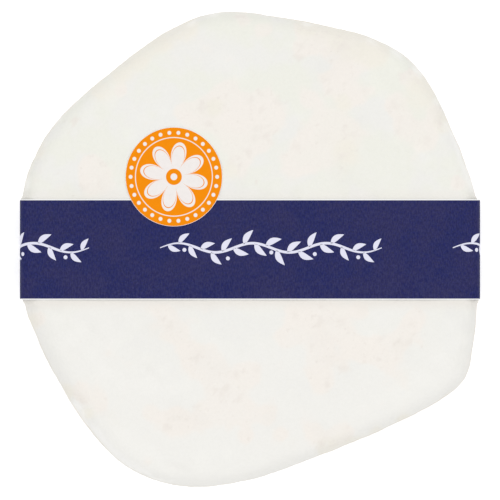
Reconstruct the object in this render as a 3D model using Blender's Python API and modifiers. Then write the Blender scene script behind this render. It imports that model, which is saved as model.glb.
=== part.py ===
"""A whole soft cheese of the camembert kind, held by a printed paper band and closed with a round sticker.

Units are metres and +Z is up. The cheese lies flat with its underside at Z 0, and the origin is the middle
of its footprint. The band runs along X, over the top, down both sides and back under the cheese.
"""

import math

import bmesh
import bpy
from mathutils import Matrix, Vector, noise

# Cheese
CHEESE_HEIGHT = 0.0290
# Each flat of the rim, as its bearing from +X in degrees and its distance from the middle.
RIM_FLATS = (
    (32, 0.0566),
    (79, 0.0565),
    (126, 0.0547),
    (149, 0.0614),
    (177, 0.0564),
    (211, 0.0559),
    (256, 0.0605),
    (293, 0.0520),
    (356, 0.0553),
)
FLAT_BLEND = 12  # a higher power gives sharper corners between the flats
# Where the rim stands out further, as the bearing, how far it stands out, and the half width in degrees.
RIM_SWELLS = (
    (329, 0.0007, 4),
    (48, 0.0018, 13),
    # close beside the band, on both sides of it
    (14, 0.0004, 3),
    (166, 0.0005, 5),
    (195.5, 0.0005, 4.5),
    (345.5, 0.0004, 3.5),
)
SIDE_LIMIT = 0.0551  # the band holds the rim in to this distance on both sides
SIDE_BLEND = 120
SECTION_POWER = 3.0  # the rim's section is a superellipse of this power
TOP_ROUNDING = 0.0048  # how far the rounded edge reaches in from the rim, on top
SLUMP_ROUNDING = 0.0022  # extra reach where the edge has slumped
SLUMP_BEARING = 215
SLUMP_HALF_WIDTH = 38
BOTTOM_ROUNDING = 0.0040
RELIEF_HEIGHT = 0.0003
RELIEF_LENGTH = 0.022
RELIEF_FADE = 0.010  # the relief fades out over this distance towards the rounded edge
BEARINGS = 128
BOTTOM_RINGS = 5
RIM_RINGS = 16
TOP_RINGS = 7

# Band
PAPER = 0.0003
GAP = 0.0003
BAND_WIDTH = 0.0235
BAND_SPAN = 0.1102  # over both sides
BAND_TOP = CHEESE_HEIGHT + 0.0001
FOLD_RADIUS = 0.0022
FOLD_SEGMENTS = 6
FLANK_WIDTH = 0.0012  # the pressed channel slopes up to the surface over this width
FLANK_HEIGHT = 0.0008
CUTTER_DEPTH = 0.0040

# Sticker
STICKER_RADIUS = 0.0116
STICKER_PAPER = 0.00025
STICKER_X = -0.0182
STICKER_Y = 0.0175
STICKER_SEGMENTS = 64
STICKER_CELL = 0.0029
STEP_WIDTH = 0.0012  # the sticker climbs from the cheese onto the band over this width

RIND_COLOUR = (0.86, 0.84, 0.78, 1.0)
NAVY_COLOUR = (0.030, 0.032, 0.115, 1.0)
ORANGE_COLOUR = (0.90, 0.27, 0.008, 1.0)


def remove_everything():
    for obj in list(bpy.data.objects):
        bpy.data.objects.remove(obj)


def new_collection(name):
    collection = bpy.data.collections.new(name)
    bpy.context.scene.collection.children.link(collection)
    return collection


def new_material(name, colour, roughness):
    material = bpy.data.materials.new(name)
    material.use_nodes = True
    shader = material.node_tree.nodes["Principled BSDF"]
    shader.inputs["Base Color"].default_value = colour
    shader.inputs["Roughness"].default_value = roughness
    shader.inputs["Metallic"].default_value = 0.0
    return material


def object_from(bm, name, collection, material=None):
    """Turns a bmesh into an object of its own and frees the bmesh."""
    mesh = bpy.data.meshes.new(name)
    bm.to_mesh(mesh)
    bm.free()
    obj = bpy.data.objects.new(name, mesh)
    collection.objects.link(obj)
    if material:
        mesh.materials.append(material)
    return obj


def bump(bearing, centre, half_width):
    """A smooth bump of height 1 at one bearing, all in degrees."""
    away = (bearing - centre + 180) % 360 - 180
    return math.exp(-((away / half_width) ** 2))


def smooth_step(value):
    value = min(max(value, 0.0), 1.0)
    return value * value * (3 - 2 * value)


def blended_flats(angle, flats, power):
    """The distance at which a ray from the middle meets several flats whose corners are rounded off."""
    total = 0.0
    for bearing, distance in flats:
        total += max(math.cos(angle - math.radians(bearing)), 0.0) ** power / distance**power
    return total ** (-1 / power) if total else math.inf


def rim_radius(angle):
    """The cheese's outline seen from above."""
    radius = blended_flats(angle, RIM_FLATS, FLAT_BLEND)
    for bearing, height, half_width in RIM_SWELLS:
        radius += height * bump(math.degrees(angle), bearing, half_width)
    side = SIDE_LIMIT / max(abs(math.cos(angle)), 1e-6)
    return radius * (1 + (radius / side) ** SIDE_BLEND) ** (-1 / SIDE_BLEND)


def top_rounding(angle):
    return TOP_ROUNDING + SLUMP_ROUNDING * bump(math.degrees(angle), SLUMP_BEARING, SLUMP_HALF_WIDTH)


def cheese_top(x, y):
    """The height of the top surface, which is gently uneven inside its rounded edge."""
    angle = math.atan2(y, x)
    inside = rim_radius(angle) - top_rounding(angle) - math.hypot(x, y)
    relief = noise.noise(Vector((x, y, 0)) / RELIEF_LENGTH)
    return CHEESE_HEIGHT + RELIEF_HEIGHT * relief * smooth_step(inside / RELIEF_FADE)


def cheese_point(ring, angle):
    """A point of the surface, by its ring, counted from the underside's middle to the top's."""
    rim = rim_radius(angle)
    rim_ring = ring - BOTTOM_RINGS
    if rim_ring < 0:
        radius = (rim - BOTTOM_ROUNDING) * ring / BOTTOM_RINGS
        height = 0.0
    elif rim_ring <= RIM_RINGS:
        turn = math.pi * (rim_ring / RIM_RINGS - 0.5)
        rounding = top_rounding(angle) if turn > 0 else BOTTOM_ROUNDING
        radius = rim - rounding * (1 - abs(math.cos(turn)) ** (2 / SECTION_POWER))
        rise = math.copysign(abs(math.sin(turn)) ** (2 / SECTION_POWER), turn)
        height = CHEESE_HEIGHT / 2 * (1 + rise)
    else:
        left = BOTTOM_RINGS + RIM_RINGS + TOP_RINGS - ring
        radius = (rim - top_rounding(angle)) * left / TOP_RINGS
        height = cheese_top(radius * math.cos(angle), radius * math.sin(angle))
    return Vector((radius * math.cos(angle), radius * math.sin(angle), height))


def make_cheese(collection, material, channel_cutter):
    """A sphere whose rings become the underside, the rim and the top, with the band's channel cut in."""
    rings = BOTTOM_RINGS + RIM_RINGS + TOP_RINGS
    bm = bmesh.new()
    bmesh.ops.create_uvsphere(bm, u_segments=BEARINGS, v_segments=rings, radius=1.0)
    for vert in bm.verts:
        height = min(max(vert.co.z, -1.0), 1.0)
        ring = round((math.asin(height) / math.pi + 0.5) * rings)
        vert.co = cheese_point(ring, math.atan2(vert.co.y, vert.co.x))
    bmesh.ops.recalc_face_normals(bm, faces=bm.faces)
    cheese = object_from(bm, "cheese", collection, material)
    cheese.data.shade_smooth()
    channel = cheese.modifiers.new("band channel", "BOOLEAN")
    channel.operation = "DIFFERENCE"
    channel.solver = "EXACT"
    channel.object = channel_cutter
    return cheese


def belt_tube(span, width, bottom, top, corner):
    """A box open at both ends along Y, with its four long edges rounded."""
    bm = bmesh.new()
    bmesh.ops.create_cube(bm, size=1.0)
    bmesh.ops.scale(bm, vec=(span, width, top - bottom), verts=bm.verts)
    bmesh.ops.translate(bm, vec=(0, 0, (bottom + top) / 2), verts=bm.verts)
    ends = [face for face in bm.faces if abs(face.normal.y) > 0.5]
    bmesh.ops.delete(bm, geom=ends, context="FACES_ONLY")
    folds = [edge for edge in bm.edges if abs(edge.verts[0].co.y - edge.verts[1].co.y) > width / 2]
    bmesh.ops.bevel(
        bm,
        geom=folds,
        offset=corner,
        offset_type="OFFSET",
        segments=FOLD_SEGMENTS,
        profile=0.5,
        affect="EDGES",
    )
    return bm


def thicken(obj, thickness, offset):
    """Gives an open sheet its thickness: offset -1 grows inwards, and 1 outwards."""
    solidify = obj.modifiers.new("paper", "SOLIDIFY")
    solidify.thickness = thickness
    solidify.offset = offset
    solidify.use_even_offset = True


def make_band(collection, material):
    belt = belt_tube(BAND_SPAN, BAND_WIDTH, 0.0, BAND_TOP, FOLD_RADIUS)
    band = object_from(belt, "band", collection, material)
    thicken(band, PAPER, -1)
    return band


def make_channel_cutter(collection):
    """A thick belt whose inside is the channel's floor, flared at both ends into sloping flanks."""
    inset = PAPER + GAP
    middle = BAND_TOP / 2
    span = BAND_SPAN - 2 * inset
    bm = belt_tube(span, BAND_WIDTH + 2 * GAP, inset, BAND_TOP - inset, FOLD_RADIUS)
    rims = [edge for edge in bm.edges if edge.is_boundary]
    flared = bmesh.ops.extrude_edge_only(bm, edges=rims)["geom"]
    for vert in [item for item in flared if isinstance(item, bmesh.types.BMVert)]:
        vert.co.x += math.copysign(FLANK_HEIGHT, vert.co.x)
        vert.co.y += math.copysign(FLANK_WIDTH, vert.co.y)
        vert.co.z += math.copysign(FLANK_HEIGHT, vert.co.z - middle)
    bmesh.ops.recalc_face_normals(bm, faces=bm.faces)
    cutter = object_from(bm, "channel_cutter", collection)
    thicken(cutter, CUTTER_DEPTH, 1)
    cutter.hide_render = True
    cutter.display_type = "WIRE"
    return cutter


def resting_height(x, y):
    """The height at which the sticker's underside lies, over the cheese or over the band."""
    over_band = smooth_step((BAND_WIDTH / 2 + STEP_WIDTH - y) / STEP_WIDTH)
    return GAP + cheese_top(x, y) * (1 - over_band) + BAND_TOP * over_band


def make_sticker(collection, material):
    """A thin disc, cut into cells so that it follows what it is stuck on."""
    bm = bmesh.new()
    bmesh.ops.create_cone(
        bm,
        cap_ends=True,
        segments=STICKER_SEGMENTS,
        radius1=STICKER_RADIUS,
        radius2=STICKER_RADIUS,
        depth=STICKER_PAPER,
        matrix=Matrix.Translation((STICKER_X, STICKER_Y, STICKER_PAPER / 2)),
    )
    cells = round(STICKER_RADIUS / STICKER_CELL)
    for step in range(1 - cells, cells):
        for axis, start in ((Vector((1, 0, 0)), STICKER_X), (Vector((0, 1, 0)), STICKER_Y)):
            everything = bm.verts[:] + bm.edges[:] + bm.faces[:]
            point = axis * (start + step * STICKER_CELL)
            bmesh.ops.bisect_plane(bm, geom=everything, dist=1e-7, plane_co=point, plane_no=axis)
    for edge_of_step in (BAND_WIDTH / 2, BAND_WIDTH / 2 + STEP_WIDTH / 2, BAND_WIDTH / 2 + STEP_WIDTH):
        everything = bm.verts[:] + bm.edges[:] + bm.faces[:]
        bmesh.ops.bisect_plane(
            bm, geom=everything, dist=1e-7, plane_co=(0, edge_of_step, 0), plane_no=(0, 1, 0)
        )
    bmesh.ops.triangulate(bm, faces=bm.faces)
    for vert in bm.verts:
        vert.co.z += resting_height(vert.co.x, vert.co.y)
    bmesh.ops.recalc_face_normals(bm, faces=bm.faces)
    return object_from(bm, "sticker", collection, material)


def main():
    remove_everything()
    parts = new_collection("camembert")
    cutters = new_collection("cutters")
    rind = new_material("rind", RIND_COLOUR, 0.75)
    navy_paper = new_material("navy paper", NAVY_COLOUR, 0.6)
    orange_paper = new_material("orange paper", ORANGE_COLOUR, 0.45)
    make_cheese(parts, rind, make_channel_cutter(cutters))
    make_band(parts, navy_paper)
    make_sticker(parts, orange_paper)


main()
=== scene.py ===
import math

import bpy
import numpy as np
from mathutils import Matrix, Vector, noise


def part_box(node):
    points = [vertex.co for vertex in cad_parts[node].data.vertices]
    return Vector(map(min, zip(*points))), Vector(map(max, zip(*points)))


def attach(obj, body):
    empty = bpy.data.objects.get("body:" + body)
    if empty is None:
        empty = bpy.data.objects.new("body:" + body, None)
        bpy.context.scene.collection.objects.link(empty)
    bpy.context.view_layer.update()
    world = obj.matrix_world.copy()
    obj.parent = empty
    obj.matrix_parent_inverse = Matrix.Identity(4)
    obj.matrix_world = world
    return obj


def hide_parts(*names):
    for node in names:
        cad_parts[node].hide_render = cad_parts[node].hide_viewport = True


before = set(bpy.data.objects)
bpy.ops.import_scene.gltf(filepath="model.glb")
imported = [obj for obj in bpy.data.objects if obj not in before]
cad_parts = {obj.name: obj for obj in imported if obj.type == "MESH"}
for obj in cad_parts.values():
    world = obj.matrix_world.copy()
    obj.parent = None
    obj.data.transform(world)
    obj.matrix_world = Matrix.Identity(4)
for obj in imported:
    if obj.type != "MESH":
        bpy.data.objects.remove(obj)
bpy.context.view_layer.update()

bandLow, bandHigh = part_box("band")
stickerLow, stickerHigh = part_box("sticker")


# Picking, editing and moving points

def pickOnly(*chosen):
    if bpy.context.mode != "OBJECT":
        bpy.ops.object.mode_set(mode="OBJECT")
    bpy.ops.object.select_all(action="DESELECT")
    for item in chosen:
        item.select_set(True)
        bpy.context.view_layer.objects.active = item


def openMesh(piece):
    pickOnly(piece)
    bpy.ops.object.mode_set(mode="EDIT")
    bpy.ops.mesh.select_all(action="SELECT")


def closeMesh():
    bpy.ops.object.mode_set(mode="OBJECT")


def mergeDoubles(piece, distance=0.000001):
    openMesh(piece)
    bpy.ops.mesh.remove_doubles(threshold=distance)
    closeMesh()


def applyModifier(piece, kind, **settings):
    pickOnly(piece)
    modifier = piece.modifiers.new(kind.lower(), kind)
    for setting, value in settings.items():
        setattr(modifier, setting, value)
    bpy.ops.object.modifier_apply(modifier=modifier.name)


def nameNew(name):
    piece = bpy.context.object
    piece.name = name
    piece.data.name = name
    return piece


def settle(*pieces):
    pickOnly(*pieces)
    bpy.ops.object.transform_apply(location=True, rotation=True, scale=True)


def readPoints(piece, kind="co"):
    points = np.empty(len(piece.data.vertices) * 3)
    piece.data.vertices.foreach_get(kind, points)
    return points.reshape(-1, 3)


def writePoints(piece, points):
    piece.data.vertices.foreach_set("co", points.ravel())
    piece.data.update()


def smoothStep(value):
    value = np.clip(value, 0.0, 1.0)
    return value * value * (3 - 2 * value)


# Building materials node by node

def addNode(tree, kind, values=None, **settings):
    node = tree.nodes.new("ShaderNode" + kind)
    for setting, value in settings.items():
        setattr(node, setting, value)
    for socket, value in (values or {}).items():
        if isinstance(value, bpy.types.NodeSocket):
            tree.links.new(value, node.inputs[socket])
        else:
            node.inputs[socket].default_value = value
    return node


def calc(tree, operation, first, second=0.0):
    return addNode(tree, "Math", {0: first, 1: second}, operation=operation).outputs[0]


def plus(tree, first, second):
    return calc(tree, "ADD", first, second)


def minus(tree, first, second):
    return calc(tree, "SUBTRACT", first, second)


def times(tree, first, second):
    return calc(tree, "MULTIPLY", first, second)


def larger(tree, first, second):
    return calc(tree, "MAXIMUM", first, second)


# Goes smoothly from low to high as the value goes from start to end, and stays there beyond.
def ramp(tree, value, start, end, low=0.0, high=1.0):
    values = {"Value": value, "From Min": start, "From Max": end, "To Min": low, "To Max": high}
    return addNode(tree, "MapRange", values, interpolation_type="SMOOTHSTEP").outputs["Result"]


def mixColour(tree, share, first, second, mode="MIX"):
    node = addNode(tree, "Mix", data_type="RGBA", blend_type=mode)
    for socket, value in ((0, share), (6, first), (7, second)):
        if isinstance(value, bpy.types.NodeSocket):
            tree.links.new(value, node.inputs[socket])
        elif isinstance(value, tuple):
            node.inputs[socket].default_value = (*value, 1.0)
        else:
            node.inputs[socket].default_value = value
    return node.outputs[2]


def noiseAt(tree, place, scale, detail=3.0, roughness=0.5):
    values = {"Vector": place, "Scale": scale, "Detail": detail, "Roughness": roughness}
    return addNode(tree, "TexNoise", values).outputs[0]


def bumpFrom(tree, height, distance, strength):
    values = {"Height": height, "Distance": distance, "Strength": strength}
    return addNode(tree, "Bump", values).outputs["Normal"]


def newMaterial(name, **sockets):
    material = bpy.data.materials.new(name)
    material.use_nodes = True
    shader = material.node_tree.nodes["Principled BSDF"]
    for socket, value in sockets.items():
        shader.inputs[socket.replace("_", " ")].default_value = value
    place = addNode(material.node_tree, "TexCoord").outputs["Object"]
    return material, material.node_tree, shader, place


# The camera looks straight down, far off through a long lens

cameraSetup = {
    "distance": 2.0,
    "frameWidth": 0.120,  # what the picture spans at the height of the aim
    "aimHeight": 0.022,
    "sensor": 36.0,
    "clipStart": 0.1,
    "clipEnd": 20.0,
}


def makeCamera():
    setup = cameraSetup
    height = setup["aimHeight"] + setup["distance"]
    bpy.ops.object.camera_add(location=(0, 0, height), rotation=(0, 0, 0))
    camera = nameNew("packshotCamera")
    camera.data.sensor_width = setup["sensor"]
    camera.data.lens = setup["sensor"] * setup["distance"] / setup["frameWidth"]
    camera.data.clip_start = setup["clipStart"]
    camera.data.clip_end = setup["clipEnd"]
    bpy.context.scene.camera = camera


makeCamera()
print("camera set")


# A white table under soft light

tableLook = {
    "side": 6.0,
    "height": -0.0002,
    "white": (0.95, 0.95, 0.95),
    "shade": (0.92, 0.92, 0.92),
    "cloudScale": 3.0,
    "roughness": 0.9,
    "specular": 0.1,
    "glow": 0.38,  # lifts the table towards pure white, for the camera alone
}

lightSetup = {
    "world": 0.945,
    "boxPower": 4.5,
    "boxSide": 1.6,
    "boxPlace": (0.09, 0.05, 1.40),
    "colour": (1.0, 1.0, 1.0, 1.0),
}


def makeTable():
    look = tableLook
    bpy.ops.mesh.primitive_plane_add(size=look["side"], location=(0, 0, look["height"]))
    table = nameNew("whiteTable")
    material, tree, shader, place = newMaterial(
        "tableWhite", Roughness=look["roughness"], Specular_IOR_Level=look["specular"]
    )
    clouds = noiseAt(tree, place, look["cloudScale"])
    colour = mixColour(tree, clouds, look["white"], look["shade"])
    tree.links.new(colour, shader.inputs["Base Color"])
    shader.inputs["Emission Color"].default_value = lightSetup["colour"]
    seen = addNode(tree, "LightPath").outputs["Is Camera Ray"]
    tree.links.new(times(tree, seen, look["glow"]), shader.inputs["Emission Strength"])
    table.data.materials.append(material)


def makeLights():
    scene = bpy.context.scene
    world = bpy.data.worlds.new("softRoom")
    scene.world = world
    world.use_nodes = True
    background = world.node_tree.nodes["Background"]
    background.inputs["Color"].default_value = lightSetup["colour"]
    background.inputs["Strength"].default_value = lightSetup["world"]
    place = Vector(lightSetup["boxPlace"])
    bpy.ops.object.light_add(type="AREA", location=place)
    box = nameNew("softBox")
    box.data.energy = lightSetup["boxPower"]
    box.data.size = lightSetup["boxSide"]
    box.rotation_euler = place.to_track_quat("Z", "Y").to_euler()
    box.visible_camera = False
    scene.view_settings.view_transform = "Standard"
    scene.view_settings.look = "None"


makeTable()
makeLights()
print("table and lights set")


# The paper band: a printed strip, folded round the cheese and lapped underneath

bandPaper = {
    "thickness": 0.00015,
    "step": 0.00055,  # how finely the strip is divided
    "rows": 20,
    "spare": 0.00024,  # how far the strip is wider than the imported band, on either side
    "shift": 0.00013,  # how far it sits towards the sticker
    "foldRadius": 0.0022,
    "outerEnd": -0.006,  # x where the outer end stops under the cheese
    "innerEnd": 0.008,  # x where the inner end stops, above the outer one
    "lapSlope": 0.002,  # run over which the inner end climbs onto the outer one
    "liftLength": 0.0035,  # the long edges stand off the cheese a little within this distance
    "liftFade": 0.010,  # and less and less within this distance of a fold
    "liftWave": 0.017,  # length of the waves in that gap
    "lowerLift": 0.00030,
    "upperLift": 0.00010,
    "smoothAngle": 40.0,  # degrees; sharper edges than this stay sharp
    "roughness": 0.55,
    "specular": 0.2,
    "navy": (0.0018, 0.0050, 0.0835),
    "fadedNavy": (0.0090, 0.0090, 0.0800),
    "fadeSize": 0.009,
    "fibre": (0.0140, 0.0140, 0.0140),  # the paper's fibres show paler through the print
    "fibreSize": 0.0003,
    "fibreStretch": 0.35,
    "grainSize": 0.0004,
    "grain": 1.5,
    "bare": (0.86, 0.86, 0.87),
    "bareRoughness": 0.8,
    "bareEdge": 0.00022,  # the print stops this far from the long edges
    "bareEdgeSoft": 0.00004,
}

bandSpan = bandHigh.x - bandLow.x
bandHeight = bandHigh.z - bandLow.z
bandWidth = bandHigh.y - bandLow.y + 2 * bandPaper["spare"]
flatHalf = bandSpan / 2 - bandPaper["foldRadius"]
foldArc = bandPaper["foldRadius"] * math.pi / 2
sideRun = bandHeight - 2 * bandPaper["foldRadius"]
bottomMiddle = 2 * flatHalf + 2 * foldArc + sideRun  # run from the top's middle to the underside's


def bandLift(run, across, least=0.75, swing=0.5):
    fade = smoothStep((flatHalf - abs(run)) / bandPaper["liftFade"])
    wave = least + swing * noise.noise(Vector((run / bandPaper["liftWave"], 0.3, 0.0)))
    reach = bandPaper["liftLength"]
    lower = bandPaper["lowerLift"] * math.exp(-(across + bandWidth / 2) / reach)
    upper = bandPaper["upperLift"] * math.exp((across - bandWidth / 2) / reach)
    return float(fade) * wave * (lower + upper)


# Moves a point of the flat strip to its place on the cheese. The run starts at the top's middle.
def foldPoint(run, across, height):
    side = math.copysign(1.0, run)
    radius = bandPaper["foldRadius"]
    left = abs(run)
    if left < flatHalf:  # on top
        x, z, turn = left, bandHigh.z, 0.0
    elif left < flatHalf + foldArc:
        turn = (left - flatHalf) / radius
        x, z = flatHalf + radius * math.sin(turn), bandHigh.z - radius * (1 - math.cos(turn))
    elif left < flatHalf + foldArc + sideRun:  # down the side
        turn = math.pi / 2
        x, z = bandSpan / 2, bandHigh.z - radius - (left - flatHalf - foldArc)
    elif left < flatHalf + 2 * foldArc + sideRun:
        turn = math.pi / 2 + (left - flatHalf - foldArc - sideRun) / radius
        x, z = flatHalf + radius * math.sin(turn), bandLow.z + radius * (1 + math.cos(turn))
    else:  # underneath
        turn = math.pi
        x, z = flatHalf - (left - (bottomMiddle - flatHalf)), bandLow.z
    if run < 0:  # the inner end steps over the outer one
        slope = bandPaper["lapSlope"]
        lap = (left - (bottomMiddle + bandPaper["outerEnd"] - slope)) / slope
        height -= bandPaper["thickness"] * float(smoothStep(lap))
    height += bandLift(run, across)
    x, z = x + height * math.sin(turn), z + height * math.cos(turn)
    return side * x, across + bandPaper["shift"], z


def foldRound(piece):
    folded = [foldPoint(*point) for point in readPoints(piece)]
    writePoints(piece, np.array(folded))


def paperFibreGroup():
    group = bpy.data.node_groups.new("paperFibre", "ShaderNodeTree")
    group.interface.new_socket(name="Place", in_out="INPUT", socket_type="NodeSocketVector")
    for side, names in (("INPUT", ("Size", "Unevenness")), ("OUTPUT", ("Tone", "Height"))):
        for name in names:
            group.interface.new_socket(name=name, in_out=side, socket_type="NodeSocketFloat")
    entry = group.nodes.new("NodeGroupInput")
    leave = group.nodes.new("NodeGroupOutput")
    scale = calc(group, "DIVIDE", 1.0, entry.outputs["Size"])
    patches = noiseAt(group, entry.outputs["Place"], scale, 4.0, 0.65)
    finer = times(group, scale, 5.0)
    fibres = noiseAt(group, entry.outputs["Place"], finer, 2.0)
    swing = times(group, minus(group, patches, 0.5), entry.outputs["Unevenness"])
    group.links.new(plus(group, swing, 1.0), leave.inputs["Tone"])
    group.links.new(fibres, leave.inputs["Height"])
    return group


paperFibre = paperFibreGroup()


# Gives a paper's material its fine relief, and returns the colour with the paper's unevenness.
def overPaper(tree, shader, place, colour, size, unevenness, relief=0.00001):
    fibre = tree.nodes.new("ShaderNodeGroup")
    fibre.node_tree = paperFibre
    fibre.inputs["Size"].default_value = size
    fibre.inputs["Unevenness"].default_value = unevenness
    tree.links.new(place, fibre.inputs["Place"])
    bump = bumpFrom(tree, fibre.outputs["Height"], relief, 0.6)
    tree.links.new(bump, shader.inputs["Normal"])
    return mixColour(tree, 1.0, colour, fibre.outputs["Tone"], "MULTIPLY")


def plainPaper(name, colour, unevenness, roughness, size=0.0012):
    material, tree, shader, place = newMaterial(
        name, Roughness=roughness, Specular_IOR_Level=bandPaper["specular"]
    )
    tinted = overPaper(tree, shader, place, colour, size, unevenness)
    tree.links.new(tinted, shader.inputs["Base Color"])
    return material


def navyBandPaper():
    look = bandPaper
    material, tree, shader, place = newMaterial(
        "navyPaper", Roughness=look["roughness"], Specular_IOR_Level=look["specular"]
    )
    fade = ramp(tree, noiseAt(tree, place, 1 / look["fadeSize"], 8.0, 0.78), 0.40, 0.60)
    navy = mixColour(tree, fade, look["navy"], look["fadedNavy"])
    stretch = {"Vector": place, "Scale": (1.0, look["fibreStretch"], 1.0)}
    drawn = addNode(tree, "Mapping", stretch).outputs[0]
    fibres = ramp(tree, noiseAt(tree, drawn, 1 / look["fibreSize"], 2.0), 0.30, 0.70)
    navy = mixColour(tree, fibres, navy, look["fibre"], "ADD")
    navy = overPaper(tree, shader, place, navy, look["grainSize"], look["grain"])
    across = addNode(tree, "SeparateXYZ", {0: place}).outputs["Y"]
    fromMiddle = calc(tree, "ABSOLUTE", minus(tree, across, look["shift"]))
    edge, soft = bandWidth / 2 - look["bareEdge"], look["bareEdgeSoft"]
    bare = ramp(tree, fromMiddle, edge - soft, edge + soft)
    tree.links.new(mixColour(tree, bare, navy, look["bare"]), shader.inputs["Base Color"])
    return material


navyPaper = navyBandPaper()
barePaper = plainPaper("barePaper", bandPaper["bare"], 0.10, bandPaper["bareRoughness"])


# The back and the cut edges take the second material.
def finishSheet(sheet, thickness, offset, shape=None):
    applyModifier(
        sheet,
        "SOLIDIFY",
        thickness=thickness,
        offset=offset,
        material_offset=1,
        material_offset_rim=1,
    )
    if shape:
        shape(sheet)
    pickOnly(sheet)
    bpy.ops.object.shade_smooth_by_angle(angle=math.radians(bandPaper["smoothAngle"]))


def makeBand():
    start = -(bottomMiddle + bandPaper["innerEnd"])
    end = bottomMiddle - bandPaper["outerEnd"]
    length = end - start
    bpy.ops.mesh.primitive_grid_add(
        x_subdivisions=round(length / bandPaper["step"]),
        y_subdivisions=bandPaper["rows"],
        size=1.0,
        location=((start + end) / 2, 0, 0),
    )
    strip = nameNew("paperBand")
    strip.scale = (length, bandWidth, 1.0)
    settle(strip)
    for paper in (navyPaper, barePaper):
        strip.data.materials.append(paper)
    finishSheet(strip, bandPaper["thickness"], -1.0, foldRound)
    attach(strip, "root")
    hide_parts("band")
    return strip


paperBand = makeBand()
print("band folded")


# The band's print: a leafy sprig in white, repeated along the strip

sprig = {
    "length": 0.053,
    "pitch": 0.070,
    "firstPlace": 0.0050,  # middle of the sprig on top, along the band
    "raise": 0.0004,  # above the band's middle line
    "endMargin": 0.0004,  # the print stops this far from the outer end, on both sides of it
    "stemWidth": 0.00062,
    "stemTip": 0.35,  # the stem's width at its ends, as a share
    "stemTaper": 4,
    "stemSteps": 110,
    "swing": 0.0011,
    "waves": 3,
    "leaves": 20,
    "leafLength": 0.0042,
    "leafWidth": 0.0015,
    "leafBelly": 0.8,  # below one, a leaf is widest nearer its stem
    "leafBlunt": 0.9,  # below one, its ends are rounder
    "leafCurl": 0.10,
    "leafSteps": 10,
    "leafTilt": 42.0,  # degrees from the stem
    "endLeaf": 0.78,  # share of their size that the leaves at the ends have
    "leafGain": 0.22,  # and how much more the middle ones have
    "berryEvery": 4,
    "berryRadius": 0.00048,
    "berrySides": 14,
    "berryAhead": 0.0014,
    "berryReach": 0.0016,
    "inkThickness": 0.00005,
    "inkColour": (0.70, 0.70, 0.82),
    "inkUnevenness": 0.12,
}


def stemAt(share):
    x = (share - 0.5) * sprig["length"]
    return x, sprig["swing"] * math.sin(2 * math.pi * sprig["waves"] * share)


def stemSlope(share, step=0.001):
    ahead, behind = stemAt(share + step), stemAt(share - step)
    return math.atan2(ahead[1] - behind[1], ahead[0] - behind[0])


def inkGrid(name, columns, rows):
    bpy.ops.mesh.primitive_grid_add(x_subdivisions=columns, y_subdivisions=rows, size=1.0)
    return nameNew(name)


def drawStem():
    stem = inkGrid("stem", sprig["stemSteps"], 1)
    points = readPoints(stem)
    for point in points:
        share, side = point[0] + 0.5, point[1] * 2
        x, y = stemAt(share)
        turn = stemSlope(share)
        taper = min(1.0, sprig["stemTip"] + sprig["stemTaper"] * min(share, 1 - share))
        half = sprig["stemWidth"] / 2 * side * taper
        point[:2] = x - half * math.sin(turn), y + half * math.cos(turn)
    writePoints(stem, points)
    return stem


def drawLeaf():
    leaf = inkGrid("leaf", sprig["leafSteps"], 2)
    points = readPoints(leaf)
    for point in points:
        share, side = point[0] + 0.5, point[1] * 2
        swell = math.sin(math.pi * share ** sprig["leafBelly"]) ** sprig["leafBlunt"]
        half = sprig["leafWidth"] / 2 * side * swell
        curl = sprig["leafCurl"] * sprig["leafLength"] * math.sin(math.pi * share)
        point[:2] = share * sprig["leafLength"], half + curl
    writePoints(leaf, points)
    mergeDoubles(leaf)
    return leaf


def drawBerry():
    bpy.ops.mesh.primitive_circle_add(
        vertices=sprig["berrySides"], radius=sprig["berryRadius"], fill_type="TRIFAN"
    )
    return nameNew("berry")


def copyTo(piece, place, turn=0.0, scale=(1.0, 1.0, 1.0)):
    twin = piece.copy()
    twin.data = piece.data.copy()
    twin.location = (*place, 0.0)
    twin.rotation_euler = (0, 0, turn)
    twin.scale = scale
    bpy.context.collection.objects.link(twin)
    return twin


def joinAll(name, pieces):
    settle(*pieces)
    bpy.ops.object.join()
    return nameNew(name)


def drawSprig():
    stem, leaf, berry = drawStem(), drawLeaf(), drawBerry()
    marks = [stem]
    for count in range(sprig["leaves"]):
        share = (count + 0.7) / (sprig["leaves"] + 0.4)  # evenly, from end to end
        side = 1 if count % 2 else -1
        size = sprig["endLeaf"] + sprig["leafGain"] * math.sin(math.pi * share)
        turn = stemSlope(share) + side * math.radians(sprig["leafTilt"])
        marks.append(copyTo(leaf, stemAt(share), turn, (size, side * size, 1.0)))
        if count % sprig["berryEvery"] == 1:
            x, y = stemAt(share)
            place = (x + sprig["berryAhead"], y - side * sprig["berryReach"])
            marks.append(copyTo(berry, place))
    bpy.data.objects.remove(leaf)
    bpy.data.objects.remove(berry)
    pattern = joinAll("sprigPattern", marks)
    openMesh(pattern)
    bpy.ops.mesh.normals_make_consistent(inside=False)  # half of the leaves are mirrored
    closeMesh()
    return pattern


def trimRuns(piece, low, high):
    for limit, beyond in ((low, "clear_inner"), (high, "clear_outer")):
        openMesh(piece)
        bpy.ops.mesh.bisect(plane_co=(limit, 0, 0), plane_no=(1, 0, 0), **{beyond: True})
        closeMesh()


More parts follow.
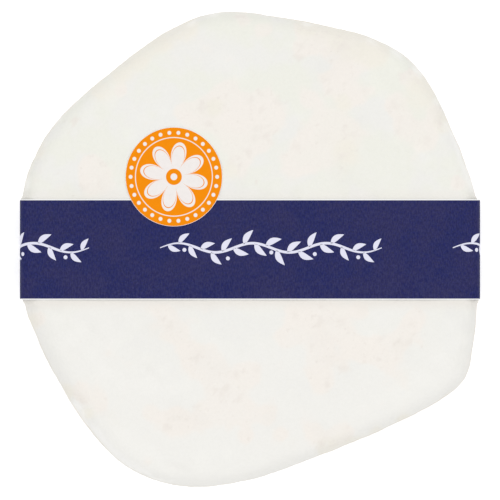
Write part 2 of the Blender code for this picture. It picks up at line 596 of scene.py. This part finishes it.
def printBand():
    pattern = drawSprig()
    colour, unevenness = sprig["inkColour"], sprig["inkUnevenness"]
    pattern.data.materials.append(
        plainPaper("whiteInk", colour, unevenness, bandPaper["roughness"])
    )
    low = -(bottomMiddle + bandPaper["outerEnd"]) + sprig["endMargin"]
    high = bottomMiddle - bandPaper["outerEnd"] - sprig["endMargin"]
    for count in range(-2, 3):
        middle = sprig["firstPlace"] + count * sprig["pitch"]
        mark = copyTo(pattern, (middle, sprig["raise"]))
        mark.name = mark.data.name = "bandSprig_" + str(count + 3)
        settle(mark)
        trimRuns(mark, low, high)
        applyModifier(mark, "SOLIDIFY", thickness=sprig["inkThickness"], offset=0.0)
        foldRound(mark)
        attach(mark, "root")
    bpy.data.objects.remove(pattern)


printBand()
print("band printed")


# The rind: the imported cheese's own form, divided finely and given its soft unevenness

rindLook = {
    "voxel": 0.0006,
    "relaxTurns": 6,
    "channelRaise": 0.00042,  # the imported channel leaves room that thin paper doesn't need
    "channelEnd": 0.0003,
    "channelFade": 0.0010,
    "lapHalf": 0.012,  # underneath, some of that room stays for the lap
    "lapRoom": 0.00015,
    "calmNearBand": 0.006,  # the relief grows to its full height over these distances
    "calmNearTable": 0.005,
    "lumpSize": 0.018,
    "lumpHeight": 0.0008,
    "rippleSize": 0.0055,
    "rippleHeight": 0.00035,
    "velvetSize": 0.0014,
    "velvetHeight": 0.00014,
    "swell": 0.40,  # below a half, the relief stands more outwards than inwards
    "pitCount": 230,
    "pitSmallest": 0.00055,
    "pitLargest": 0.00105,
    "pitDepth": 0.00012,
    "pitRagged": 0.9,
    "pitRaggedSize": 0.0011,
    "pitStretch": (0.55, 1.1),
    "pitShallowest": 0.4,  # share of the full depth
    "pitElsewhere": 0.004,  # how likely a pit is where the bloom is thick
    "pitSeed": 11,
    "pitsClearOfBand": 0.0015,
    "wrinkleSize": 0.016,
    "wrinkleFlatness": 3.0,
    "wrinkleWidth": 0.11,
    "wrinkleDepth": 0.00040,
    "wrinkleSpread": 0.18,
    "wrinklesUpTo": 0.0235,
    "wrinkleStain": 0.40,
    "coolBloom": (0.786, 0.786, 0.722),
    "greyBloom": (0.791, 0.783, 0.752),
    # painted light: the lighter bloom towards the front
    "frontLitBloom": (0.806, 0.796, 0.762),
    "thin": (0.826, 0.785, 0.736),
    "ripe": (0.808, 0.778, 0.703),
    "speck": (0.770, 0.727, 0.680),
    "pressedAndShadow": (0.775, 0.738, 0.690),
    "contactShadow": (0.650, 0.650, 0.630),
    "side": (0.780, 0.748, 0.680),
    "litRim": (0.900, 0.892, 0.872),
    "foot": (0.740, 0.690, 0.600),
    "crease": (0.700, 0.640, 0.580),
    "pressedAndShadowReach": 0.0034,  # how far from the band's edge the rind has its pressed tint and painted shadow
    "contactShadowReach": 0.00060,
    "sideTop": 0.0260,
    "sideFull": 0.0180,
    "footTop": 0.0055,
    "footFull": 0.0010,
    "driftScale": 70.0,
    "mottleScale": 260.0,
    "fleckScale": 430.0,
    "dotScale": 1000.0,
    "grainScale": 1300.0,
    "fuzzScale": 3600.0,
    "fuzzShare": 0.45,
    "bumpDepth": 0.00012,
    "specular": 0.15,
    "sheen": 0.12,
    "sheenRoughness": 0.6,
}

# Where the white bloom is thin on top, patch by patch: x, y and radius in millimetres.
thinSpots = [
    (-3.6, 31.8, 7.0), (-10.2, 33.0, 4.4), (3.0, 33.0, 5.4), (-5.4, 37.2, 3.4),
    (0.0, 27.6, 4.8), (-2.4, 20.4, 3.6), (-15.6, 33.0, 2.4), (-30.6, 38.4, 1.6),
    (21.6, 26.4, 5.8), (15.6, 24.6, 5.4), (10.8, 21.0, 4.0), (18.0, 30.6, 3.8),
    (14.4, 36.0, 2.2), (24.0, 37.2, 3.8), (19.8, 40.8, 2.8), (22.8, 43.2, 2.4),
    (35.4, 35.4, 3.4), (37.8, 30.0, 3.4), (42.0, 26.4, 3.4), (43.8, 32.4, 2.8),
    (38.4, 40.8, 2.8), (16.8, 51.0, 3.8), (22.8, 49.2, 4.0), (28.2, 46.8, 3.4),
    (13.2, 48.0, 2.4), (12.0, 52.8, 2.0), (3.4, 52.2, 2.5), (-1.8, 55.4, 2.2),
    (-36.6, 17.4, 4.0), (-38.4, 19.8, 2.4), (49.8, 15.6, 2.3), (-18.6, -19.8, 4.2),
    (-19.8, -15.0, 2.8), (-13.8, -25.8, 3.6), (-8.4, -29.4, 4.8), (-4.8, -34.8, 5.6),
    (-9.6, -24.0, 2.4), (0.0, -28.8, 2.8), (-10.8, -39.6, 4.4), (-18.6, -40.8, 4.4),
    (-24.0, -39.0, 2.2), (-1.2, -39.6, 3.0), (4.2, -39.4, 2.4), (12.0, -16.8, 5.2),
    (18.6, -19.2, 5.0), (16.8, -26.4, 3.8), (16.8, -31.2, 3.4), (9.0, -21.0, 2.8),
    (16.8, -13.2, 5.0), (28.2, -24.0, 3.6), (33.0, -26.4, 3.2), (36.6, -20.4, 3.6),
    (39.6, -16.8, 2.6), (24.0, -22.8, 2.6), (26.4, -14.4, 2.4), (-51.0, -16.8, 2.2),
    (-36.0, -36.0, 3.2), (-40.8, -34.2, 2.2), (15.6, -43.2, 3.2), (21.6, -43.8, 3.2),
    (7.6, -43.8, 2.0), (-0.6, -44.4, 1.8),
]

# Where it has ripened to a faint yellow, mostly along the rim.
ripeSpots = [
    (22.8, 50.8, 6.0), (30.0, 47.0, 3.4), (13.0, 53.5, 3.4), (41.0, 38.0, 4.2),
    (46.0, 30.0, 2.6), (-15.0, 53.0, 3.0), (-21.0, 49.5, 3.2), (-26.0, 46.0, 3.2),
    (-31.0, 42.0, 2.8), (-36.0, 38.0, 2.8), (-51.0, 24.0, 2.2), (22.8, 23.6, 3.2),
    (22.3, 35.5, 2.2), (-8.6, 34.3, 2.0), (-4.8, 19.0, 2.0), (-53.0, -17.4, 2.4),
    (-44.0, -34.0, 2.2), (-39.0, -39.0, 2.0), (18.0, -47.6, 3.0), (25.0, -47.2, 2.6),
    (31.0, -44.4, 2.2), (37.0, -41.0, 2.0),
]

# Painted light: whiter patches, as soft streaks and along parts of the rim.
litSpots = [
    (-45.6, -16.8, 2.2), (-42.0, -21.0, 2.6), (-38.4, -25.8, 2.8), (-34.8, -29.6, 2.8),
    (-30.0, -32.4, 2.6), (-24.0, -32.4, 2.8), (-19.2, -33.2, 2.4), (-15.6, -32.0, 2.0),
    (-20.4, -28.6, 2.0), (-25.6, -26.4, 2.2), (-32.4, -22.8, 2.0), (-39.6, -18.0, 2.0),
    (-30.0, -45.6, 3.2), (-24.0, -49.2, 3.0), (-18.6, -52.4, 3.0), (-11.4, -50.4, 2.8),
    (-6.0, -48.6, 2.4), (48.0, -17.8, 2.2), (50.0, -22.4, 2.2), (45.6, -25.8, 3.0),
    (41.4, -30.6, 3.0), (36.0, -34.4, 2.8), (31.2, -35.6, 2.6), (26.4, -38.4, 2.6),
    (29.4, -20.4, 2.4), (29.4, 41.0, 2.6), (31.0, 37.4, 2.0), (34.6, 43.4, 2.4),
    (33.6, 28.8, 1.8), (35.0, 26.2, 1.6), (42.4, 21.4, 2.4), (40.4, 24.4, 1.6),
    (-6.0, 44.8, 3.0), (-2.4, 42.0, 2.4), (9.6, 49.2, 1.6), (12.0, 32.4, 2.0),
    (-28.8, 27.6, 1.8), (-25.0, 31.4, 1.8), (-20.4, 33.4, 1.8), (-33.6, 36.0, 2.2),
    (-38.4, 32.4, 2.2), (-41.6, -38.6, 3.4), (-38.0, -43.0, 4.0), (-33.4, -47.6, 4.2),
    (-28.0, -51.8, 4.2), (-22.0, -55.0, 3.6), (-54.4, 16.0, 2.4), (-53.4, 21.0, 2.4),
    (-50.4, 27.0, 2.2), (-46.6, 32.0, 2.2), (-42.0, 36.6, 2.0), (52.4, 15.4, 3.0),
    (51.0, 19.6, 3.4), (49.4, 24.0, 3.2), (47.4, 29.0, 2.8), (44.6, 34.6, 2.4),
    (39.8, 42.4, 2.4), (34.6, 46.4, 2.6), (28.8, 49.2, 2.2), (13.6, 54.6, 2.0),
    (-8.6, 56.0, 2.0), (-14.0, 54.4, 2.0),
]

# Painted shade: greyer patches, mostly beside the band.
shadedSpots = [
    (-43.0, 14.0, 4.0), (-35.6, 14.0, 3.6), (-20.0, 13.8, 2.8), (-3.0, 14.4, 4.0),
    (3.6, 13.4, 3.0), (11.0, 13.2, 2.4), (24.0, 14.2, 4.2), (31.0, 13.2, 2.6),
    (41.0, 13.8, 3.6), (15.6, 49.4, 3.0), (21.6, 46.8, 3.4), (26.4, 47.8, 2.4),
    (18.0, 43.2, 3.0), (45.0, 33.0, 2.8), (39.6, 31.0, 2.2), (4.8, 51.6, 2.4),
    (-10.2, 35.4, 2.8), (17.4, 26.8, 2.2), (26.0, 31.0, 2.0), (21.6, 20.4, 3.0),
    (-38.4, -15.6, 3.4), (-31.2, -16.6, 3.4), (-24.0, -17.8, 3.6), (-17.4, -20.4, 3.6),
    (-12.0, -25.2, 3.4), (-7.2, -29.0, 3.4), (-17.4, -38.6, 3.6), (-12.0, -40.4, 3.0),
    (-35.0, -38.4, 2.0), (16.8, -21.0, 4.0), (19.0, -27.0, 3.2), (36.6, -22.8, 2.6),
    (17.0, -42.4, 2.6), (5.0, -40.0, 3.0), (-46.0, -13.6, 2.4), (27.0, -14.0, 2.6),
    (42.0, -14.0, 3.0), (49.0, -14.2, 3.0), (-16.0, -14.4, 3.0), (-9.0, -13.8, 2.2),
    (0.5, -54.6, 2.4), (5.5, -52.6, 3.0), (11.5, -50.2, 3.4), (17.3, -48.0, 3.0),
    (23.0, -45.6, 2.6), (29.1, -43.6, 3.0), (35.0, -41.0, 3.2), (40.9, -38.6, 3.0),
    (51.8, -18.0, 2.0), (51.0, -24.0, 1.8), (-20.0, -54.2, 1.7), (-22.4, -53.6, 1.3),
    (50.4, -27.6, 1.8), (-48.6, -27.0, 1.6),
]

# Creases near the rim: middle, direction in degrees, bow, half length, half width, depth and stain.
creases = [
    ((-0.0405, -0.0350), -24.0, -0.0004, 0.0040, 0.00070, 0.00014, 0.30),
    ((-0.0186, -0.0530), -14.0, 0.0010, 0.0044, 0.00110, 0.00060, 0.14),
    ((-0.0380, -0.0200), -37.0, 0.0006, 0.0060, 0.00080, 0.00036, 0.05),
    ((-0.0245, -0.0295), -47.0, 0.0008, 0.0060, 0.00080, 0.00036, 0.05),
    ((-0.0420, -0.0255), -42.0, 0.0006, 0.0080, 0.00090, 0.00026, 0.05),
    ((0.0440, 0.0215), -38.0, 0.0006, 0.0080, 0.00100, 0.00012, 0.05),
    ((0.0496, -0.0255), 72.0, -0.0010, 0.0060, 0.00090, 0.00034, 0.08),
    ((0.0466, -0.0345), 52.0, -0.0006, 0.0036, 0.00070, 0.00028, 0.08),
]


def copyNode(nodeName, pieceName):
    piece = bpy.data.objects.new(pieceName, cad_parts[nodeName].data.copy())
    piece.data.name = pieceName
    piece.data.materials.clear()
    bpy.context.collection.objects.link(piece)
    mergeDoubles(piece)
    return piece


def fillChannel(rind):
    points, normals = readPoints(rind), readPoints(rind, "normal")
    look = rindLook
    beyond = np.abs(points[:, 1]) - bandWidth / 2 - look["channelEnd"]
    fill = look["channelRaise"] * (1 - smoothStep(beyond / look["channelFade"]))
    underLap = (np.abs(points[:, 0]) < look["lapHalf"]) & (points[:, 2] < bandHeight / 2)
    fill = fill - look["lapRoom"] * underLap * (fill > 0)
    outward = normals * (1, 0, 1)
    outward /= np.maximum(np.linalg.norm(outward, axis=1), 1e-6)[:, None]
    writePoints(rind, points + outward * np.maximum(fill, 0)[:, None])


def weighLumps(rind, nearest=0.001, underneath=0.25, gain=0.75):
    points = readPoints(rind)
    away = np.abs(points[:, 1]) - bandWidth / 2 - nearest
    besideBand = smoothStep(away / rindLook["calmNearBand"])
    aboveTable = underneath + gain * smoothStep(points[:, 2] / rindLook["calmNearTable"])
    group = rind.vertex_groups.new(name="free")
    for index, weight in enumerate(besideBand * aboveTable):
        group.add((index,), float(weight), "REPLACE")


def raiseRelief(rind, name, size, height, depth):
    texture = bpy.data.textures.new(name, "CLOUDS")
    texture.noise_scale = size
    texture.noise_depth = depth
    applyModifier(
        rind,
        "DISPLACE",
        texture=texture,
        texture_coords="LOCAL",
        strength=height,
        mid_level=rindLook["swell"],
        vertex_group="free",
    )


def wanderAt(points, size, shift=0.0, roughness=0.7, spacing=2.0, octaves=3):
    offset = Vector((shift, 2 * shift, shift))
    places = (Vector(point) / size + offset for point in points)
    return np.array([noise.fractal(place, roughness, spacing, octaves) for place in places])


# The patches melt into one another, and the wander frays their edges.
def spotsOn(points, patches, wander, softness=0.6, falloff=1.2, least=0.1):
    east, north = 1000 * points[:, 0], 1000 * points[:, 1]
    cover = np.zeros(len(points))
    for x, y, radius in patches:
        away = np.hypot(east - x, north - y)
        cover += np.exp(-falloff * (away / radius) ** 2)
    return smoothStep((cover - least + wander) / softness)


# On top the patches follow the lists. On the side and underneath they are plain noise.
def thinBloomOf(points, topFrom=0.020, topFade=0.006, patchSize=0.016):
    onTop = smoothStep((points[:, 2] - topFrom) / topFade)
    wander = wanderAt(points, 0.007)
    hidden = smoothStep((wanderAt(points, patchSize, 3.0) + 0.4 * wander - 0.05) / 0.5)
    return spotsOn(points, thinSpots, 0.45 * wander) * onTop + hidden * (1 - onTop)


def ripenessOf(points, topFrom=0.014, topFade=0.008, patchSize=0.020):
    onTop = smoothStep((points[:, 2] - topFrom) / topFade)
    wander = wanderAt(points, 0.009, 5.0)
    hidden = smoothStep((wanderAt(points, patchSize, 9.0) - 0.05) / 0.4)
    return spotsOn(points, ripeSpots, 0.3 * wander) * onTop + hidden * (1 - onTop)


# Painted light above nought, from the lit spots, and painted shade below it, from the shaded spots.
# It ends raggedly down the side.
def paintedLightAndShadeOf(points, topFrom=0.016, topFade=0.006, softness=1.2):
    wander = 0.5 * wanderAt(points, 0.005, 12.0)
    onTop = smoothStep((points[:, 2] - topFrom + 0.012 * wander) / topFade)
    litCover = spotsOn(points, litSpots, wander, softness)
    return (litCover - spotsOn(points, shadedSpots, wander, softness)) * onTop


def pressPits(points, normals, thin):
    look = rindLook
    chance = np.random.RandomState(look["pitSeed"])
    clear = np.abs(points[:, 1]) > bandWidth / 2 + look["pitsClearOfBand"]
    weights = thin**2 * clear + look["pitElsewhere"] * clear
    share = weights / weights.sum()
    centres = chance.choice(len(points), look["pitCount"], replace=False, p=share)
    ragged = 1 + look["pitRagged"] * wanderAt(points, look["pitRaggedSize"], 7.0)
    depth = np.zeros(len(points))
    for centre in centres:
        radius = chance.uniform(look["pitSmallest"], look["pitLargest"])
        stretch = chance.uniform(*look["pitStretch"], 3)
        away = ragged * np.linalg.norm((points - points[centre]) * stretch, axis=1) / radius
        full = chance.uniform(look["pitShallowest"], 1.0)
        depth = np.maximum(depth, full * np.exp(-(away**2)))
    return points - normals * (depth * look["pitDepth"])[:, None], depth


def pressCreases(points, normals, topFrom=0.012, topFade=0.006, lipHeight=0.35, lipPlace=1.9):
    onTop = smoothStep((points[:, 2] - topFrom) / topFade)
    depth = np.zeros(len(points))
    stained = np.zeros(len(points))
    for (x, y), direction, bow, halfLength, halfWidth, full, stain in creases:
        turn = math.radians(direction)
        east, north = points[:, 0] - x, points[:, 1] - y
        along = east * math.cos(turn) + north * math.sin(turn)
        across = north * math.cos(turn) - east * math.sin(turn)
        share = along / halfLength
        away = (across - bow * (1 - share**2)) / halfWidth
        taper = np.exp(-(share**2) * 1.5) * onTop
        lip = lipHeight * np.exp(-((away - lipPlace) ** 2))
        depth += full * taper * (np.exp(-(away**2)) - lip)
        stained = np.maximum(stained, stain * taper * np.exp(-((away / 1.4) ** 2)))
    return points - normals * depth[:, None], stained


# Level wrinkles wander along the side, where this noise is near nought.
def pressWrinkles(points, normals, fade=0.005, stretchSize=0.024):
    look = rindLook
    place = points * (1, 1, look["wrinkleFlatness"]) / look["wrinkleSize"]
    away = np.abs([noise.fractal(Vector(point), 0.8, 2.0, 3) for point in place])
    present = smoothStep((wanderAt(points, stretchSize, 4.0) + look["wrinkleSpread"]) / 0.35)
    height = points[:, 2]
    onSide = smoothStep((look["wrinklesUpTo"] - height) / fade) * smoothStep(height / fade)
    upright = 1 - np.abs(normals[:, 2])
    strength = smoothStep(1 - away / look["wrinkleWidth"]) * present * onSide * upright
    return points - normals * (strength * look["wrinkleDepth"])[:, None], strength


def addAttribute(piece, name, values):
    attribute = piece.data.attributes.new(name, "FLOAT", "POINT")
    attribute.data.foreach_set("value", values.astype(np.float32))


def makeRind():
    look = rindLook
    rind = copyNode("cheese", "cheeseRind")
    applyModifier(rind, "REMESH", mode="VOXEL", voxel_size=look["voxel"], use_smooth_shade=True)
    applyModifier(rind, "SMOOTH", factor=0.5, iterations=look["relaxTurns"])
    fillChannel(rind)
    weighLumps(rind)
    raiseRelief(rind, "lumps", look["lumpSize"], look["lumpHeight"], 1)
    raiseRelief(rind, "ripples", look["rippleSize"], look["rippleHeight"], 2)
    raiseRelief(rind, "velvet", look["velvetSize"], look["velvetHeight"], 1)
    points, normals = readPoints(rind), readPoints(rind, "normal")
    thin = thinBloomOf(points)
    points, pitted = pressPits(points, normals, thin)
    points, creased = pressCreases(points, normals)
    points, wrinkled = pressWrinkles(points, normals)
    points[:, 2] = np.maximum(points[:, 2], 0.0)  # nothing sinks below the table
    writePoints(rind, points)
    addAttribute(rind, "thinBloom", thin)
    addAttribute(rind, "ripeness", ripenessOf(points))
    addAttribute(rind, "lightAndShade", paintedLightAndShadeOf(points))
    addAttribute(rind, "pitted", pitted)
    addAttribute(rind, "creased", np.maximum(creased, wrinkled * look["wrinkleStain"]))
    addAttribute(rind, "underneath", smoothStep((-normals[:, 2] - 0.55) / 0.4))
    rind.vertex_groups.clear()
    return rind


def attributeOf(tree, name):
    return addNode(tree, "Attribute", attribute_name=name).outputs["Fac"]


def rindMaterial():
    look = rindLook
    material, tree, shader, place = newMaterial(
        "bloomyRind",
        Specular_IOR_Level=look["specular"],
        Sheen_Weight=look["sheen"],
        Sheen_Roughness=look["sheenRoughness"],
    )

    def tint(below, mask, name):
        return mixColour(tree, mask, below, look[name])

    drift = noiseAt(tree, place, look["driftScale"], 3.0, 0.6)
    mottle = noiseAt(tree, place, look["mottleScale"], 4.0, 0.65)
    grain = noiseAt(tree, place, look["grainScale"], 3.0, 0.6)
    fuzz = noiseAt(tree, place, look["fuzzScale"], 2.0)
    axes = addNode(tree, "SeparateXYZ", {0: place}).outputs
    across, height = axes["Y"], axes["Z"]
    lightAndShade = attributeOf(tree, "lightAndShade")
    offTable = minus(tree, 1.0, attributeOf(tree, "underneath"))

    # The bloom, cool and grey by turns, and painted light makes it lighter towards the front
    colour = mixColour(tree, ramp(tree, drift, 0.42, 0.60), look["coolBloom"], look["greyBloom"])
    front = plus(tree, across, ramp(tree, drift, 0.35, 0.65, -0.024, 0.024))
    colour = tint(colour, ramp(tree, front, 0.014, -0.034), "frontLitBloom")

    # Thin and ripened patches, with ragged edges
    fineEdge = times(tree, minus(tree, mottle, 0.5), 0.8)
    thinMask = ramp(tree, plus(tree, attributeOf(tree, "thinBloom"), fineEdge), 0.0, 1.0)
    thinMask = times(tree, thinMask, ramp(tree, drift, 0.35, 0.60, 0.72, 1.0))
    colour = tint(colour, thinMask, "thin")
    ripeShare = ramp(tree, mottle, 0.25, 0.65, 0.5, 1.0)
    colour = tint(colour, times(tree, attributeOf(tree, "ripeness"), ripeShare), "ripe")

    # The side, painted light on its shoulder where the lit patches reach it, and its foot
    sideMask = ramp(tree, height, look["sideTop"], look["sideFull"], 0.0, 0.8)
    sideMask = times(tree, sideMask, ramp(tree, mottle, 0.30, 0.65, 0.4, 1.0))
    colour = tint(colour, times(tree, sideMask, offTable), "side")
    litRimMask = times(tree, ramp(tree, lightAndShade, 0.0, 1.0), ramp(tree, height, 0.0286, 0.0255))
    litRimMask = times(tree, litRimMask, ramp(tree, height, 0.0140, 0.0240, 0.0, 0.5))
    colour = tint(colour, litRimMask, "litRim")
    footHeight = plus(tree, height, ramp(tree, mottle, 0.3, 0.7, -0.002, 0.002))
    footMask = ramp(tree, footHeight, look["footTop"], look["footFull"], 0.0, 0.7)
    colour = tint(colour, times(tree, footMask, offTable), "foot")

    # The strips that the band's edges press, with a pressed tint and painted shadow, stronger below
    # the band where its lifted lower edge casts the shadow
    fromMiddle = calc(tree, "ABSOLUTE", minus(tree, across, bandPaper["shift"]))
    besideBand = minus(tree, fromMiddle, bandWidth / 2)
    pressAndShadowStrength = ramp(tree, across, 0.005, -0.005, 0.40, 0.85)
    pressedAndShadowMask = ramp(tree, besideBand, look["pressedAndShadowReach"], 0.0, 0.0, pressAndShadowStrength)
    colour = tint(colour, pressedAndShadowMask, "pressedAndShadow")
    # painted contact shadow: a thin darker line along each of the band's edges
    contactShadowMask = ramp(tree, besideBand, look["contactShadowReach"], 0.00010, 0.0, 0.45)
    colour = tint(colour, contactShadowMask, "contactShadow")

    # Flecks, pits and creases
    flecks = noiseAt(tree, place, look["fleckScale"], 3.0, 0.6)
    dots = noiseAt(tree, place, look["dotScale"], 2.0)
    specks = larger(
        tree, ramp(tree, flecks, 0.56, 0.74, 0.0, 0.9), ramp(tree, dots, 0.60, 0.76, 0.0, 0.8)
    )
    specks = larger(tree, attributeOf(tree, "pitted"), times(tree, specks, thinMask))
    colour = tint(colour, ramp(tree, specks, 0.10, 1.0, 0.0, 0.75), "speck")
    creaseMask = ramp(tree, attributeOf(tree, "creased"), 0.0, 1.0, 0.0, 0.8)
    colour = tint(colour, creaseMask, "crease")

    # Painted light and shade, lighter on the lit patches and darker on the shaded ones, and a fine
    # grain all over
    lightAndShadeTone = ramp(tree, lightAndShade, -1.0, 1.0, 0.982, 1.013)
    grainTone = ramp(tree, grain, 0.2, 0.8, 0.988, 1.010)
    for tone in (lightAndShadeTone, grainTone):
        colour = mixColour(tree, 1.0, colour, tone, "MULTIPLY")
    tree.links.new(colour, shader.inputs["Base Color"])
    tree.links.new(ramp(tree, mottle, 0.3, 0.7, 0.72, 0.92), shader.inputs["Roughness"])
    relief = plus(tree, grain, times(tree, fuzz, look["fuzzShare"]))
    tree.links.new(bumpFrom(tree, relief, look["bumpDepth"], 0.5), shader.inputs["Normal"])
    return material


cheeseRind = makeRind()
cheeseRind.data.materials.append(rindMaterial())
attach(cheeseRind, "root")
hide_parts("cheese")
print("rind grown")


# The round sticker, laid over the cheese and the band's upper edge

stickerPaper = {
    "sides": 96,
    "thickness": 0.00010,
    "margin": 0.00007,  # bare paper round the print
    "meshRing": 0.00055,  # how finely the disc is divided
    "stiffTurns": 60,  # the more, the wider it bridges the step at the band
    "clearance": 0.00002,
    "longer": 1.022,  # it is a little longer across the band than along it
    "roughness": 0.45,
    "specular": 0.04,
    "grainSize": 0.0011,
    "grain": 0.12,
    "orange": (0.832, 0.248, 0.0015),
    "white": (0.800, 0.760, 0.740),
    "petals": 8,
    "petalTip": 0.0082,
    "petalNotch": 0.0031,
    "petalTurn": 12.0,  # degrees
    "petalBelly": 0.55,  # the smaller, the fuller the petals
    "inline": 0.00085,  # an orange line inside each petal's edge
    "inlineWidth": 0.00022,
    "heart": 0.0019,  # radius of the round middle
    "seed": 0.0008,  # and of the dot in it
    "ring": 0.0092,
    "ringWidth": 0.00022,
    "beads": 30,
    "beadRing": 0.01035,
    "beadRadius": 0.00046,
    "soft": 0.00005,
}

stickerMiddle = (stickerLow + stickerHigh) / 2
stickerRadius = (stickerHigh.x - stickerLow.x) / 2


def stickerMaterial():
    look = stickerPaper
    material, tree, shader, place = newMaterial(
        "orangeSticker", Roughness=look["roughness"], Specular_IOR_Level=look["specular"]
    )

    def inside(distance, limit):
        return ramp(tree, distance, limit + look["soft"], limit - look["soft"])

    def outside(distance, limit):
        return minus(tree, 1.0, inside(distance, limit))

    def line(distance, middle, width):
        return inside(calc(tree, "ABSOLUTE", minus(tree, distance, middle)), width / 2)

    def lengthOf(first, second):
        squares = plus(tree, times(tree, first, first), times(tree, second, second))
        return calc(tree, "SQRT", squares)

    centre = {"Vector": place, "Location": (-stickerMiddle.x, -stickerMiddle.y, 0)}
    centred = addNode(tree, "Mapping", centre).outputs[0]
    axes = addNode(tree, "SeparateXYZ", {0: centred}).outputs
    x, y = axes["X"], calc(tree, "DIVIDE", axes["Y"], look["longer"])
    radius = lengthOf(x, y)
    angle = plus(tree, calc(tree, "ARCTAN2", y, x), math.radians(look["petalTurn"]))

    # Petals with a line inside their edge, round an orange heart
    wave = calc(tree, "COSINE", times(tree, angle, look["petals"] / 2))
    bulge = calc(tree, "POWER", calc(tree, "ABSOLUTE", wave), look["petalBelly"])
    edge = times(tree, bulge, look["petalTip"] - look["petalNotch"])
    depth = minus(tree, radius, plus(tree, edge, look["petalNotch"]))
    inline = line(depth, -look["inline"], look["inlineWidth"])
    petal = times(tree, inside(depth, 0.0), outside(radius, look["heart"]))
    petal = times(tree, petal, minus(tree, 1.0, inline))

    # A ring of beads, a thin ring inside it and a dot in the heart
    cell = math.tau / look["beads"]
    along = times(tree, calc(tree, "PINGPONG", angle, cell / 2), radius)
    beadAway = lengthOf(along, minus(tree, radius, look["beadRing"]))
    white = larger(tree, petal, inside(radius, look["seed"]))
    white = larger(tree, white, line(radius, look["ring"], look["ringWidth"]))
    white = larger(tree, white, inside(beadAway, look["beadRadius"]))
    colour = mixColour(tree, white, look["orange"], look["white"])
    tinted = overPaper(tree, shader, place, colour, look["grainSize"], look["grain"])
    tree.links.new(tinted, shader.inputs["Base Color"])
    return material


def cutDisc():
    look = stickerPaper
    bpy.ops.mesh.primitive_circle_add(
        vertices=look["sides"],
        radius=stickerRadius,
        fill_type="NGON",
        location=(stickerMiddle.x, stickerMiddle.y, 0),
    )
    disc = nameNew("paperSticker")
    disc.scale.y = look["longer"]
    settle(disc)
    for paper in (stickerMaterial(), barePaper):
        disc.data.materials.append(paper)
    openMesh(disc)
    disc.active_material_index = 1
    bpy.ops.object.material_slot_assign()
    bpy.ops.mesh.inset(thickness=look["margin"])
    disc.active_material_index = 0
    bpy.ops.object.material_slot_assign()
    left = stickerRadius - look["margin"]
    while left > 2 * look["meshRing"]:
        bpy.ops.mesh.inset(thickness=look["meshRing"])
        left -= look["meshRing"]
    bpy.ops.mesh.poke()
    closeMesh()
    return disc


def layOver(sheet, carriers):
    bpy.context.view_layer.update()
    above = bandHigh.z + 0.01  # the rays start well over everything
    points = readPoints(sheet)
    ground = np.full(len(points), -1.0)
    for carrier in carriers:
        for index, (x, y, z) in enumerate(points):
            found, place = carrier.ray_cast((x, y, above), (0, 0, -1))[:2]
            if found:
                ground[index] = max(ground[index], place.z)
    ground += stickerPaper["clearance"]
    edges = np.array([edge.vertices[:] for edge in sheet.data.edges])
    links = np.bincount(edges.ravel(), minlength=len(points))
    height = ground.copy()
    for turn in range(stickerPaper["stiffTurns"]):
        total = np.zeros(len(points))
        np.add.at(total, edges[:, 0], height[edges[:, 1]])
        np.add.at(total, edges[:, 1], height[edges[:, 0]])
        height = np.maximum(ground, total / links)
    points[:, 2] = height
    writePoints(sheet, points)


def makeSticker():
    disc = cutDisc()
    layOver(disc, (cheeseRind, paperBand))
    finishSheet(disc, stickerPaper["thickness"], 1.0)
    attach(disc, "root")
    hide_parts("sticker")


makeSticker()
print("sticker laid")
